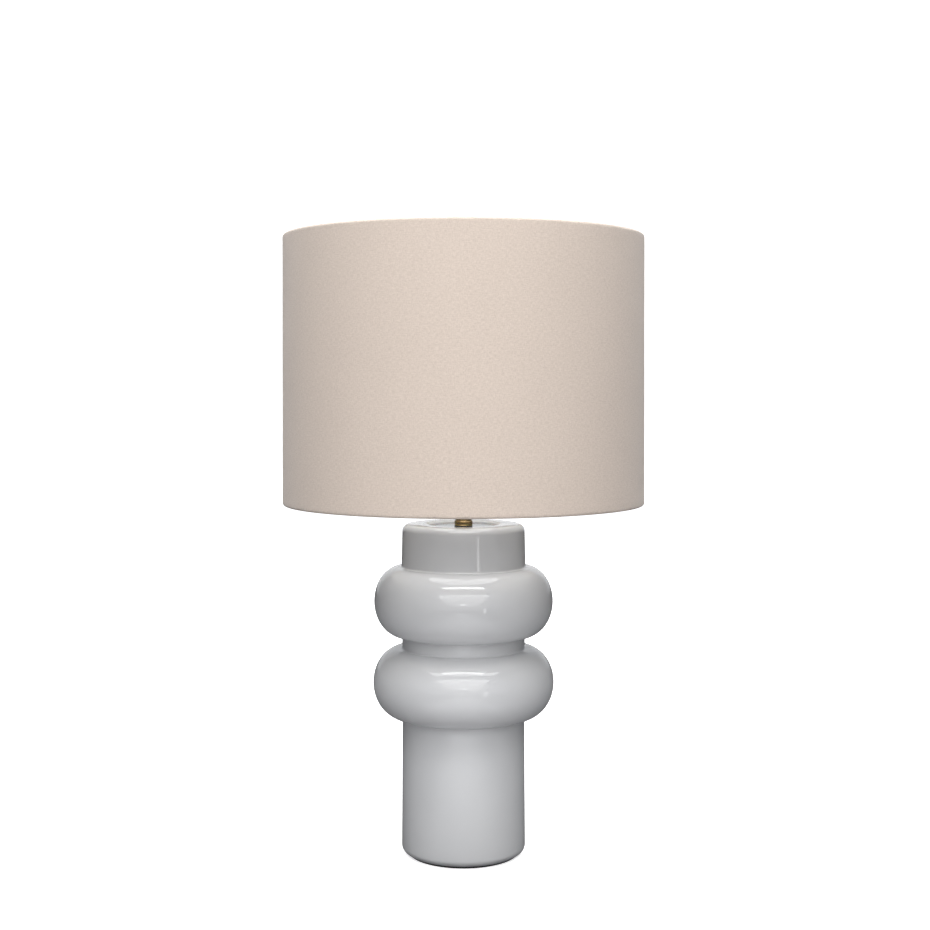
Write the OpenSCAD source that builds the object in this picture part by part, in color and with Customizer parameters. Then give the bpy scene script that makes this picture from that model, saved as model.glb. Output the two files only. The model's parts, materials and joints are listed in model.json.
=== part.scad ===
// Table lamp: a glazed ceramic body of a round plinth, two stacked bulges and a
// straight neck, with a drum shade held by a detachable harp over a turn-knob socket.
// The origin is on the table under the middle of the base, +Z is up, and the front
// of the lamp, where the switch knob is, faces -Y. The cord outlet faces +Y.

/* [Ceramic body] */
// Height of the top of the ceramic above the table
body_h = 354.9; // [350:0.1:360]
// Radius of the plinth just above its rounded foot
plinth_foot_r = 66.3; // [66:0.1:68]
// Radius of the plinth where it meets the lower bulge
plinth_top_r = 65.3; // [64:0.1:66]
// Radius of the waist between the bulges
waist_r = 65.6; // [64:0.1:67]
// Radius of the neck where it leaves the upper bulge
neck_foot_r = 66.1; // [65:0.1:67]
// Radius of the neck under its rounded shoulder
neck_top_r = 65.3; // [64:0.1:66]
// Largest radius of the lower bulge
lower_bulge_r = 96.6; // [92:0.1:100]
// Height of the middle of the lower bulge
lower_bulge_z = 185.4; // [183:0.1:187]
// Largest radius of the upper bulge
upper_bulge_r = 95.4; // [92:0.1:100]
// Height of the middle of the upper bulge
upper_bulge_z = 272.4; // [270:0.1:274]
// Half the height of a bulge
bulge_half_h = 36.6; // [34:0.1:38]
// Radius of the glaze fillets where bulges meet the straight parts
glaze_fillet = 2.2; // [1:0.1:3]
// Radius of the rounded foot
foot_round = 7.5; // [4:0.1:8]
// Radius of the rounded shoulder of the neck
shoulder_round = 7.5; // [5:0.1:9]
// Thickness of the slip-cast wall
wall = 6; // [5:0.5:7]
// Radius of the shallow dish in the top of the neck
dish_r = 38; // [34:1:44]
// Depth of the dish
dish_depth = 2.5; // [2:0.1:3]

/* [Base] */
// Thickness of the felt pad
felt_t = 2; // [1.5:0.1:3]
// Radius of the felt pad
felt_r = 59.2; // [58:0.1:60]
// Height of the ledge that the bottom plate bears on
ledge_z = 30; // [29:0.5:33]
// Height of the middle of the cord outlet
cord_hole_z = 17.5; // [17:0.5:18]

/* [Brass neck] */
// Radius of the check ring
check_ring_r = 9.85; // [9.5:0.05:11]
// Height of the check ring
check_ring_h = 5.6; // [4:0.1:7]
// Radius of the brass neck tube
neck_tube_r = 8.65; // [8:0.05:9]
// Height of the underside of the harp saddle
saddle_z = 397; // [395:0.5:400]

/* [Shade] */
// Outer radius of the shade's top edge
shade_top_r = 189.9; // [180:0.1:200]
// Outer radius of the shade's bottom edge
shade_bottom_r = 191.4; // [180:0.1:200]
// Height of the shade's bottom edge above the table
shade_bottom_z = 376.3; // [370:0.1:380]
// Height of the shade
shade_h = 282.2; // [275:0.1:290]
// How far the middle of the spider is dropped below the top edge
spider_drop = 12.5; // [11:0.5:16]
// Radius of the wire of the two shade rings
ring_wire_r = 1.6; // [1.4:0.1:1.8]
// Thickness of the linen cover
linen_t = 0.6; // [0.5:0.1:0.8]
// Thickness of the styrene liner under the linen
liner_t = 0.4; // [0.3:0.1:0.5]

/* [Harp] */
// Distance of a harp leg from the middle
leg_x = 28.5; // [27.5:0.5:30]
// Radius of the harp wire
harp_wire_r = 1.8; // [1.6:0.1:1.9]
// Angle at which the legs flare out
flare = 22; // [18:1:24]

/* [Hidden] */

$fn = 64;
gap = 0.15; // radial running clearance between pieces that move
slip = 0.05; // radial clearance between assembled pieces

// Levels of the parts on the lamp's axis
dish_z = body_h - dish_depth;
washer_t = 0.6;
check_z = dish_z + washer_t;
tube_z = check_z + check_ring_h;
saddle_t = 1.8;
cap_z = saddle_z + saddle_t;
shell_z = cap_z + 14.5;
shell_top_z = cap_z + 58;
switch_z = cap_z + 11;
switch_top_z = cap_z + 31;
knob_z = cap_z + 22;
bulb_z = switch_top_z + 3.2;
shade_top_z = shade_bottom_z + shade_h;
spider_z = shade_top_z - spider_drop;

// Threaded pipe that ties the lamp together
pipe_r = 4.9;
pipe_bore_r = 3.3;
pipe_bottom_z = 20;
pipe_top_z = cap_z + 8;
pipe_hole_r = pipe_r + slip;

// Bottom plate, lock washer and nut hang under the ledge
plate_t = 1.6;
plate_z = ledge_z - plate_t;
plate_r = 54;
lock_washer_t = 1.4;
nut_t = 4.6;
nut_across_flats = 16;

// Ceramic details
recess_r = 55.5; // inside the foot ring
ledge_r = 48;
ledge_t = 8;
top_t = 9;
cord_hole_r = 5.4;
cord_bore_r = 3.6;
bush_flange_r = 7.2;
bush_flange_t = 2.4;

// Socket radii
cap_r = 17.2;
shell_r = 16.4;
shell_t = 0.5;
liner_r = shell_r - shell_t - slip;
card_t = 0.8;
body_r = liner_r - card_t - slip;
set_screw_r = 1.6;
shaft_r = 2;
knob_front_y = 41;
thread_pitch = 3.63; // of the E26 lamp thread

// Bulb levels
cap_bottom_z = bulb_z + 4.6;
glass_z = cap_bottom_z + 5 * thread_pitch + 1.6; // above the turns of the cap

// Harp levels
ferrule_h = 17;
arm_bend_r = 11; // mean radius of the saddle's bends
arm_top_z = saddle_z + saddle_t / 2 + arm_bend_r + 4;
joint_z = arm_top_z + 9;
leg_top_z = joint_z + 24;
eye_r = 8;
eye_h = 4.4;
stud_plate_t = 1.4;
spider_t = 1.6;
harp_top_z = spider_z - eye_h / 2 - stud_plate_t;
stud_r = 3.17; // 1/4-27 thread
stud_h = 11;

// Harp curve: flare out, a straight run, a long bow in, a tight corner, a flat top
lap = 0.3; // the straights lap into the bends
hair = 0.01; // and the bends are a hair thinner, so that their skins meet in circles
flare_bend_r = 30;
bow_r = 225;
lean_in = 12;
top_half = 6;
bow_angle = flare + lean_in;
corner_angle = 90 - lean_in;
corner_k = (1 - sin(lean_in)) / cos(lean_in);
// How far the leg moves out before the corner and up before the top, without the run
reach_out = leg_x - top_half + flare_bend_r * (1 - cos(flare))
    + bow_r * (cos(lean_in) - cos(flare));
reach_up = harp_top_z - leg_top_z - flare_bend_r * sin(flare)
    - bow_r * (sin(flare) + sin(lean_in));
// The run and the corner radius that close the harp at its top
run_len = (reach_up - corner_k * reach_out) / (cos(flare) + corner_k * sin(flare));
corner_r = (reach_out + run_len * sin(flare)) / cos(lean_in);

// Shade section
ring_z_top = shade_top_z - ring_wire_r - liner_t - linen_t;
ring_z_bottom = shade_bottom_z + ring_wire_r + liner_t + linen_t;
ring_inset = ring_wire_r + liner_t + linen_t;
fold_in = 9; // how far the linen is turned in past a ring
arm_angles = [90, 210, 330];
spider_arm_r = 1.5;
spider_hub_r = 11;

// Points on an arc about c, from angle a0 to a1, in n steps
function arc_pts(c, r, a0, a1, n) =
    [for (i = [0:n]) let (a = a0 + (a1 - a0) * i / n) c + r * [cos(a), sin(a)]];

function reverse(v) = [for (i = [len(v) - 1:-1:0]) v[i]];

// Radius of the shade's outer face at height z
function shade_r(z) =
    shade_bottom_r + (shade_top_r - shade_bottom_r) * (z - shade_bottom_z) / shade_h;

// Section of one bulge, from the straight part of radius r0 below it to r1 above it,
// with concave fillets f where it leaves them
function bulge_pts(z, r_max, half_h, r0, r1, f, n) = concat(
    arc_pts([r0 + f, z - half_h - f], f, 180, 90, 4),
    [for (i = [1:n]) let (a = 90 * i / n)
        [r0 + f + (r_max - r0 - f) * sin(a), z - half_h * cos(a)]],
    [for (i = [n - 1:-1:1]) let (a = 90 * i / n)
        [r1 + f + (r_max - r1 - f) * sin(a), z + half_h * cos(a)]],
    arc_pts([r1 + f, z + half_h + f], f, 270, 180, 4)
);

// Outer section of the ceramic, from the foot to the dish in the neck's top
function outer_section() = concat(
    arc_pts([plinth_foot_r - foot_round, felt_t + foot_round], foot_round, -90, 0, 8),
    bulge_pts(lower_bulge_z, lower_bulge_r, bulge_half_h, plinth_top_r, waist_r,
        glaze_fillet, 16),
    bulge_pts(upper_bulge_z, upper_bulge_r, bulge_half_h, waist_r, neck_foot_r,
        glaze_fillet, 16),
    arc_pts([neck_top_r - shoulder_round, body_h - shoulder_round],
        shoulder_round, 0, 90, 8),
    [[dish_r + 3, body_h], [dish_r + 1, body_h - 0.5], [dish_r - 3, dish_z + 0.4],
     [dish_r - 6, dish_z]]
);

// Inner section of the ceramic, from the underside of the top down to the ledge
function inner_section() = let (
    inner_r = waist_r - wall,
    half_h = bulge_half_h - wall,
    fullness = lower_bulge_r - wall,
    top_fullness = upper_bulge_r - wall
) concat(
    [[inner_r, body_h - top_t]],
    reverse(bulge_pts(upper_bulge_z, top_fullness, half_h, inner_r, inner_r, 3, 10)),
    reverse(bulge_pts(lower_bulge_z, fullness, half_h, inner_r, inner_r, 3, 10)),
    [[inner_r - 1, ledge_z + ledge_t + 10], [ledge_r, ledge_z + ledge_t]]
);

// A ring of rectangular section
module tube(r_out, r_in, h) {
    difference() {
        cylinder(h = h, r = r_out);
        translate([0, 0, -1]) cylinder(h = h + 2, r = r_in);
    }
}

// A straight round wire between two points, with a ball at its end
module wire(a, b, r) {
    d = b - a;
    length = norm(d);
    translate(a) rotate([0, acos(d[2] / length), atan2(d[1], d[0])]) cylinder(h = length, r = r);
    translate(b) sphere(r = r);
}

// ---- Base ----

module felt_pad() {
    color("#1c1c1c") cylinder(h = felt_t, r = felt_r);
}

module bottom_plate() {
    color("#4a4b4d") translate([0, 0, plate_z]) difference() {
        tube(plate_r, pipe_hole_r, plate_t);
        // Pressed stiffening groove
        translate([0, 0, -0.4]) tube(32, 28, 0.8);
    }
}

// Split spring washer under the plate
module lock_washer() {
    color("#8d8f92") translate([0, 0, plate_z - lock_washer_t]) difference() {
        tube(8.4, pipe_hole_r, lock_washer_t);
        rotate(20) translate([0, -0.5, -1]) cube([20, 1, 4]);
    }
}

module hex_nut() {
    corner_r = nut_across_flats / 2 / cos(30);
    color("#b8923f") translate([0, 0, plate_z - lock_washer_t - nut_t]) intersection() {
        difference() {
            cylinder(h = nut_t, r = corner_r, $fn = 6);
            translate([0, 0, -1]) cylinder(h = nut_t + 2, r = pipe_hole_r);
        }
        // Chamfered corners
        rotate_extrude() polygon([
            [0, 0], [nut_across_flats / 2, 0], [corner_r, 0.8],
            [corner_r, nut_t - 0.8], [nut_across_flats / 2, nut_t], [0, nut_t]
        ]);
    }
}

module lamp_pipe() {
    color("#b5a06a") translate([0, 0, pipe_bottom_z])
        tube(pipe_r, pipe_bore_r, pipe_top_z - pipe_bottom_z);
}

module ceramic_body() {
    color("#eef0f1") difference() {
        rotate_extrude() polygon(concat(
            outer_section(),
            [[pipe_r + 0.7, dish_z], [pipe_r + 0.7, body_h - top_t]],
            inner_section(),
            [[ledge_r, ledge_z], [recess_r, ledge_z], [recess_r, felt_t]]
        ));
        translate([0, plinth_foot_r + 5, cord_hole_z]) rotate([90, 0, 0])
            cylinder(h = 30, r = cord_hole_r);
    }
}

// Flanged bush that lines the cord outlet
module cord_bush() {
    inner_y = recess_r - 1.5;
    face_y = plinth_foot_r + bush_flange_t;
    color("#202020") difference() {
        union() {
            translate([0, inner_y, cord_hole_z]) rotate([-90, 0, 0])
                cylinder(h = plinth_foot_r - inner_y, r = cord_hole_r - slip);
            // Flange, seated on the round plinth
            difference() {
                translate([0, plinth_foot_r - 1, cord_hole_z]) rotate([-90, 0, 0])
                    rotate_extrude() polygon([
                        [0, 0], [bush_flange_r, 0], [bush_flange_r, bush_flange_t - 0.4],
                        [bush_flange_r - 1, bush_flange_t + 0.7],
                        [cord_bore_r + 1.2, bush_flange_t + 1],
                        [0, bush_flange_t + 1]
                    ]);
                translate([0, 0, cord_hole_z - 15]) cylinder(h = 30, r = plinth_foot_r);
            }
        }
        translate([0, inner_y - 1, cord_hole_z]) rotate([-90, 0, 0])
            cylinder(h = face_y - inner_y + 5, r = cord_bore_r);
    }
}

// ---- Brass neck and harp saddle ----

module rubber_washer() {
    color("#151515") translate([0, 0, dish_z])
        tube(check_ring_r - 0.35, pipe_r + 0.4, washer_t);
}

module check_ring() {
    color("#8c7638") translate([0, 0, check_z]) rotate_extrude() polygon(concat(
        [[pipe_hole_r, 0], [check_ring_r - 0.4, 0], [check_ring_r, 0.5]],
        arc_pts([check_ring_r - 1.4, check_ring_h - 1.4], 1.4, 0, 90, 5),
        [[pipe_hole_r, check_ring_h]]
    ));
}

module neck_tube() {
    flare_h = 7;
    color("#8c7638") translate([0, 0, tube_z]) rotate_extrude() polygon(concat(
        [[pipe_hole_r, 0], [neck_tube_r, 0], [neck_tube_r, saddle_z - tube_z - flare_h]],
        arc_pts([neck_tube_r + 3, saddle_z - tube_z - flare_h], 3, 180, 90, 5),
        [[neck_tube_r + 3.4, saddle_z - tube_z - 3.6],
         [neck_tube_r + 3.4, saddle_z - tube_z], [pipe_hole_r, saddle_z - tube_z]]
    ));
}

// Half of the saddle's side outline: flat bottom, quarter bend and upright arm
module saddle_half_2d() {
    outer = arm_bend_r + saddle_t / 2;
    inner = arm_bend_r - saddle_t / 2;
    bend_x = leg_x - arm_bend_r;
    bend_z = saddle_t / 2 + arm_bend_r;
    square([bend_x, saddle_t]);
    translate([bend_x, bend_z]) intersection() {
        difference() {
            circle(r = outer);
            circle(r = inner);
        }
        translate([0, -outer]) square([outer, outer]);
    }
    translate([leg_x - saddle_t / 2, bend_z])
        square([saddle_t, arm_top_z - saddle_z - bend_z]);
}

module harp_saddle() {
    strip_w = 14;
    tab_w = 5.6;
    color("#a98c45") difference() {
        union() {
            translate([0, strip_w / 2, saddle_z]) rotate([90, 0, 0])
                linear_extrude(height = strip_w) {
                    saddle_half_2d();
                    mirror([1, 0]) saddle_half_2d();
                }
            // Prongs that the harp stands on, thinner than its wire
            for (side = [-1, 1]) translate([side * leg_x, 0, arm_top_z - 5])
                cylinder(h = joint_z - arm_top_z + 5, r = harp_wire_r - 0.6);
        }
        translate([0, 0, saddle_z - 1]) cylinder(h = 4, r = pipe_hole_r);
        // Arms narrow to tabs towards the prongs
        for (side = [-1, 1], y = [-1, 1])
            translate([side * leg_x, y * (tab_w / 2 + 10), arm_top_z]) rotate([0, 90, 0])
                cylinder(h = 8, r = 10, center = true);
    }
}

// ---- Socket ----

module socket_cap() {
    hub_r = 9;
    color("#b5913f") difference() {
        translate([0, 0, cap_z]) rotate_extrude() polygon(concat(
            [[pipe_hole_r, 0], [hub_r, 0], [hub_r, 5]],
            arc_pts([hub_r, 13], 8, -90, 0, 6),
            [[cap_r, 14], [cap_r, 17.6], [cap_r + 0.5, 18], [cap_r - 0.2, 18],
             [cap_r - 0.7, 17.4], [cap_r - 0.7, 13]],
            arc_pts([hub_r, 13], 7.2, 0, -90, 6),
            [[pipe_hole_r, 5.8]]
        ));
        translate([0, 0, cap_z + 2.6]) rotate([-90, 0, 0])
            cylinder(h = hub_r + 1, r = set_screw_r);
    }
}

module cap_set_screw() {
    length = 4;
    color("#8d7a45") translate([0, pipe_hole_r + 0.1, cap_z + 2.6]) rotate([-90, 0, 0])
        difference() {
            cylinder(h = length, r = set_screw_r - slip);
            translate([-set_screw_r - 1, -0.3, length - 0.9])
                cube([2 * set_screw_r + 2, 0.6, 2]);
        }
}

// Insulating card cup in the cap
module cap_liner() {
    color("#5b4a38") translate([0, 0, cap_z + 9]) rotate_extrude() polygon([
        [8, 0], [14.6, 0], [15.6, 2.4], [15.6, 5], [14.8, 5], [14.8, 2.7], [14.1, 0.8], [8, 0.8]
    ]);
}

// Cut for the switch shaft: a slot open at the bottom edge, facing -Y
module shaft_slot(depth) {
    slot_w = 8;
    translate([-slot_w / 2, -depth, shell_z - 1]) cube([slot_w, depth, knob_z - shell_z + 1]);
    translate([0, 0, knob_z]) rotate([90, 0, 0]) cylinder(h = depth, r = slot_w / 2);
}

module socket_shell() {
    color("#b5913f") difference() {
        translate([0, 0, shell_z]) rotate_extrude() polygon([
            [shell_r - shell_t, 0], [shell_r, 0], [shell_r, shell_top_z - shell_z - 5],
            [shell_r + 0.5, shell_top_z - shell_z - 4], [shell_r, shell_top_z - shell_z - 3],
            [shell_r, shell_top_z - shell_z - 0.6], [shell_r + 0.4, shell_top_z - shell_z],
            [shell_r - shell_t, shell_top_z - shell_z]
        ]);
        shaft_slot(shell_r + 2);
    }
}

module shell_liner() {
    color("#6b5844") difference() {
        translate([0, 0, shell_z + 0.8]) tube(liner_r, liner_r - card_t, shell_top_z - shell_z - 2);
        shaft_slot(shell_r + 2);
    }
}

module terminal_pocket(side) {
    translate([side * body_r, 0, switch_z + 9]) cube([7, 9, 10], center = true);
}

// Moulded body that holds the switch and the terminals
module switch_body() {
    color("#241a15") difference() {
        translate([0, 0, switch_z]) rotate_extrude() polygon([
            [0, -1.5], [7, -1.5], [7, 0], [12.5, 0], [body_r - 0.5, 5.4],
            [body_r - 0.5, switch_top_z - switch_z - 3], [13.2, switch_top_z - switch_z],
            [0, switch_top_z - switch_z]
        ]);
        translate([0, 0, knob_z]) rotate([90, 0, 0]) cylinder(h = 40, r = shaft_r + gap / 2);
        terminal_pocket(-1);
        terminal_pocket(1);
        for (side = [-1, 1]) translate([side * (body_r - 9), 0, switch_z + 9])
            rotate([0, side * 90, 0]) cylinder(h = 9, r = 1.6);
    }
}

module terminal_screw(side) {
    seat_x = body_r - 3.5;
    translate([side * seat_x, 0, switch_z + 9]) rotate([0, side * 90, 0]) difference() {
        union() {
            cylinder(h = 1.7, r = 3);
            translate([0, 0, -4.5]) cylinder(h = 5, r = 1.6 - slip);
        }
        translate([-4, -0.4, 1]) cube([8, 0.8, 2]);
    }
}

module terminal_screw_hot() {
    color("#c29b3c") terminal_screw(1);
}

module terminal_screw_neutral() {
    color("#c9cbcd") terminal_screw(-1);
}

// Rolled thread as rings: mean radius r, depth d, n turns up from z = 0
function thread_pts(r, d, n, steps = 8) =
    [for (i = [0:n * steps]) [r + d * cos(360 * i / steps), thread_pitch * i / steps]];

module screw_shell() {
    mean_r = 13.35;
    depth = 0.5;
    sheet_t = 0.4;
    turns = 6;
    color("#c3a050") translate([0, 0, switch_top_z]) rotate_extrude() polygon(concat(
        thread_pts(mean_r + sheet_t, depth, turns),
        reverse(thread_pts(mean_r, depth, turns))
    ));
}

// Sprung tongue under the bulb's contact
module centre_contact() {
    color("#c29b3c") translate([0, 3, switch_top_z]) rotate([90, 0, 0])
        linear_extrude(height = 6) polygon([
            [-8, 0], [-4, 0], [0, 2.2], [3.4, 2.2], [3.4, 2.8], [-0.3, 2.8], [-4.3, 0.6], [-8, 0.6]
        ]);
}

// ---- Switch ----

module switch_shaft() {
    color("#b0a070") translate([0, -7, knob_z]) rotate([90, 0, 0])
        cylinder(h = knob_front_y - 3 - 7, r = shaft_r);
}

module switch_knob() {
    length = 15;
    flutes = 12;
    color("#1b1815") translate([0, -knob_front_y + length, knob_z]) rotate([90, 0, 0])
        difference() {
            rotate_extrude() polygon([
                [shaft_r, -1], [4.6, -1], [4.6, 2.4], [6.4, 3.4], [6.4, length - 1.2],
                [5.2, length], [0, length], [0, length - 3], [shaft_r, length - 3]
            ]);
            for (i = [0:flutes - 1]) rotate(i * 360 / flutes)
                translate([6.9, 0, 4.6]) cylinder(h = length, r = 0.9);
        }
}

// ---- Bulb ----

// Outline of the glass from its neck up, moved in by t
function glass_section(t) = concat(
    [[12.4 - t, 0], [12.8 - t, 6], [14.6 - t, 13], [18.6 - t, 21]],
    arc_pts([0, 41], 30 - t, -42, 90, 18)
);

module bulb_glass() {
    color([0.97, 0.97, 0.95, 0.8]) translate([0, 0, glass_z]) rotate_extrude()
        polygon(concat(glass_section(0), reverse(glass_section(0.8))));
}

module bulb_stem() {
    color([0.85, 0.9, 0.9, 0.6]) translate([0, 0, glass_z]) rotate_extrude() polygon([
        [0, 0.6], [11.4, 0.6], [11.4, 1.6], [4.5, 6], [3, 12], [2.6, 26], [1.6, 30], [0, 30]
    ]);
}

// Coil on its two support wires
module bulb_filament() {
    lead_x = 7;
    coil_z = 42;
    wire_r = 0.35;
    color("#8f8f8f") translate([0, 0, glass_z]) {
        for (side = [-1, 1])
            wire([side * 1.2, 0, 28], [side * lead_x, 0, coil_z], wire_r);
        translate([-lead_x, 0, coil_z]) rotate([0, 90, 0]) cylinder(h = 2 * lead_x, r = 0.5);
    }
}

module bulb_cap() {
    mean_r = 12.1;
    depth = 0.4;
    sheet_t = 0.3;
    turns = 5;
    thread_top = thread_pitch * turns;
    collar_r = 12.95; // around the foot of the glass
    color("#c8cacc") translate([0, 0, cap_bottom_z]) rotate_extrude() polygon(concat(
        [[mean_r - depth - 2.5, -1], [mean_r - depth - 0.5, -1], [mean_r, -0.4]],
        thread_pts(mean_r, depth, turns),
        [[collar_r, thread_top + 0.8], [collar_r, thread_top + 4],
         [collar_r - sheet_t, thread_top + 4], [collar_r - sheet_t, thread_top + 1]],
        reverse(thread_pts(mean_r - sheet_t, depth, turns)),
        [[mean_r - depth - 2.5, -0.6]]
    ));
}

module bulb_insulator() {
    color("#1a1a1c") translate([0, 0, bulb_z + 1.2]) rotate_extrude() polygon([
        [3.2, 0], [5, 0.2], [9, 2.2], [9, 3.4], [3.2, 3.4]
    ]);
}

module bulb_contact() {
    color("#b9b9b4") translate([0, 0, bulb_z]) rotate_extrude() polygon([
        [0, 0], [2.4, 0.2], [4.2, 0.95], [4.2, 1.15], [3.1, 1.15], [3.1, 4], [0, 4]
    ]);
}

// ---- Harp ----

// One quarter or less of a wire bend that starts upright and turns towards +X
module bend(r, angle) {
    translate([r, 0, 0]) rotate([90, 0, 0]) rotate([0, 0, 180 - angle])
        rotate_extrude(angle = angle) translate([r, 0]) circle(r = harp_wire_r - hair);
}

// Carries its children to the end of such a bend
module after_bend(r, angle) {
    translate([r * (1 - cos(angle)), 0, r * sin(angle)]) rotate([0, angle, 0]) children();
}

// Straight run that laps into the bends at its ends
module run(length) {
    translate([0, 0, -lap]) cylinder(h = length + 2 * lap, r = harp_wire_r);
}

// The right leg, from its foot on the saddle to the flat top
module harp_leg() {
    translate([leg_x, 0, joint_z]) {
        translate([0, 0, lap]) run(leg_top_z - joint_z - lap);
        translate([0, 0, leg_top_z - joint_z]) {
            bend(flare_bend_r, flare);
            after_bend(flare_bend_r, flare) {
                run(run_len);
                translate([0, 0, run_len]) rotate(180) {
                    bend(bow_r, bow_angle);
                    after_bend(bow_r, bow_angle) {
                        run(0);
                        bend(corner_r, corner_angle);
                        after_bend(corner_r, corner_angle) run(top_half);
                    }
                }
            }
        }
    }
}

module harp_wire() {
    color("#a98c45") difference() {
        union() {
            for (side = [0, 180]) rotate(side) harp_leg();
            // Eye that the stud turns in
            translate([0, 0, harp_top_z - eye_h / 2]) cylinder(h = eye_h, r = eye_r);
        }
        translate([0, 0, harp_top_z - eye_h]) cylinder(h = 2 * eye_h, r = stud_r + gap / 2);
    }
}

module ferrule(side) {
    bore_r = harp_wire_r + 0.4; // runs freely over the joint
    color("#b5913f") translate([side * leg_x, 0, arm_top_z + gap]) rotate_extrude() polygon([
        [bore_r, 0], [3.3, 0], [3.6, 0.6], [3.6, 3], [3.2, 3.6],
        [3.2, ferrule_h - 2], [2.7, ferrule_h], [bore_r, ferrule_h]
    ]);
}

module ferrule_left() {
    ferrule(-1);
}

module ferrule_right() {
    ferrule(1);
}

// Threaded stud that swivels in the harp's eye, with its head peened under the eye
module harp_stud() {
    head_t = 1.4;
    color("#b5913f") translate([0, 0, harp_top_z]) rotate_extrude() polygon([
        [0, -eye_h / 2 - gap - head_t], [4.6, -eye_h / 2 - gap - head_t],
        [5, -eye_h / 2 - gap], [stud_r, -eye_h / 2 - gap], [stud_r, eye_h / 2],
        [8, eye_h / 2], [8, eye_h / 2 + stud_plate_t],
        [stud_r, eye_h / 2 + stud_plate_t],
        [stud_r, eye_h / 2 + stud_plate_t + stud_h - 0.8],
        [stud_r - 0.8, eye_h / 2 + stud_plate_t + stud_h],
        [0, eye_h / 2 + stud_plate_t + stud_h]
    ]);
}

module finial() {
    seat_z = spider_z + spider_t;
    color("#a58538") translate([0, 0, seat_z]) rotate_extrude() polygon(concat(
        [[stud_r + gap / 2, 0], [6.8, 0], [7, 0.4], [7, 1.8], [6.2, 2.6]],
        arc_pts([6.4, 5.2], 2.4, 250, 130, 5),
        [[5.4, 7.8], [5.4, 8.8]],
        arc_pts([0, 15.6], 8, -58, 76, 12),
        [[1.9, 24.2], [1.2, 25.6], [0, 26], [0, stud_h + 1], [stud_r + gap / 2, stud_h]]
    ));
}

// ---- Shade ----

// Torus of the top or bottom ring
module shade_ring(z) {
    translate([0, 0, z]) rotate_extrude()
        translate([shade_r(z) - ring_inset, 0]) circle(r = ring_wire_r);
}

module top_ring() {
    color("#b9babb") shade_ring(ring_z_top);
}

module bottom_ring() {
    color("#b9babb") shade_ring(ring_z_bottom);
}

// The three arms from the hub up to the top ring, with wire radius r
module spider_arms(r) {
    reach = shade_r(ring_z_top) - ring_inset;
    for (angle = arm_angles) rotate(angle) {
        wire([spider_hub_r - 2.5, 0, spider_z + spider_t / 2], [26, 0, ring_z_top], r);
        translate([26, 0, ring_z_top]) rotate([0, 90, 0]) cylinder(h = reach - 26, r = r);
    }
}

module spider() {
    color("#b9babb") difference() {
        union() {
            translate([0, 0, spider_z]) cylinder(h = spider_t, r = spider_hub_r);
            difference() {
                spider_arms(spider_arm_r);
                // Open middle, so that the arms start at the edge of the hub
                translate([0, 0, spider_z - 3]) cylinder(h = 8, r = 8.3);
                shade_ring(ring_z_top);
            }
        }
        translate([0, 0, spider_z - 1]) cylinder(h = 8, r = stud_r + 0.25);
    }
}

module shade_liner() {
    color("#f3ece0") rotate_extrude() polygon([
        [shade_r(ring_z_bottom) - linen_t - liner_t, ring_z_bottom],
        [shade_r(ring_z_bottom) - linen_t, ring_z_bottom],
        [shade_r(ring_z_top) - linen_t, ring_z_top],
        [shade_r(ring_z_top) - linen_t - liner_t, ring_z_top]
    ]);
}

// Section of the linen where it rolls over a ring at height z, from outside to
// inside, dir = 1 at the top edge and -1 at the bottom; face is 0 for the outer
// face of the cloth and 1 for the inner one
function roll_pts(z, dir, face) = let (
    c = [shade_r(z) - ring_inset, z],
    r = ring_inset - face * linen_t
) concat(
    [for (i = [0:8]) let (a = dir * 180 * i / 8) c + r * [cos(a), sin(a)]],
    [[c[0] - r, z - dir * (ring_wire_r + 1)],
     [shade_r(z) - linen_t - liner_t - (1 - face) * linen_t, z - dir * fold_in]]
);

module shade_cover() {
    color("#dccdbd") difference() {
        rotate_extrude() polygon(concat(
            reverse(roll_pts(ring_z_bottom, -1, 0)),
            roll_pts(ring_z_top, 1, 0),
            reverse(roll_pts(ring_z_top, 1, 1)),
            roll_pts(ring_z_bottom, -1, 1)
        ));
        // Notches where the spider's arms pass through the turned-in edge
        spider_arms(spider_arm_r + slip);
    }
}

felt_pad();
bottom_plate();
lock_washer();
hex_nut();
lamp_pipe();
ceramic_body();
cord_bush();
rubber_washer();
check_ring();
neck_tube();
harp_saddle();
socket_cap();
cap_set_screw();
cap_liner();
socket_shell();
shell_liner();
switch_body();
terminal_screw_hot();
terminal_screw_neutral();
screw_shell();
centre_contact();
switch_shaft();
switch_knob();
bulb_glass();
bulb_stem();
bulb_filament();
bulb_cap();
bulb_insulator();
bulb_contact();
harp_wire();
ferrule_left();
ferrule_right();
harp_stud();
spider();
top_ring();
bottom_ring();
shade_liner();
shade_cover();
finial();
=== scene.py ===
"""Table lamp: the looks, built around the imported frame.

A glazed ceramic body with two bulges, a brass neck, and a linen drum shade that a wire
harp carries over a turn-knob socket. Lengths are in metres, and the frame's own.
"""

import json
import math

import bmesh
import bpy
import numpy as np
from mathutils import Matrix, Vector, noise


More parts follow.
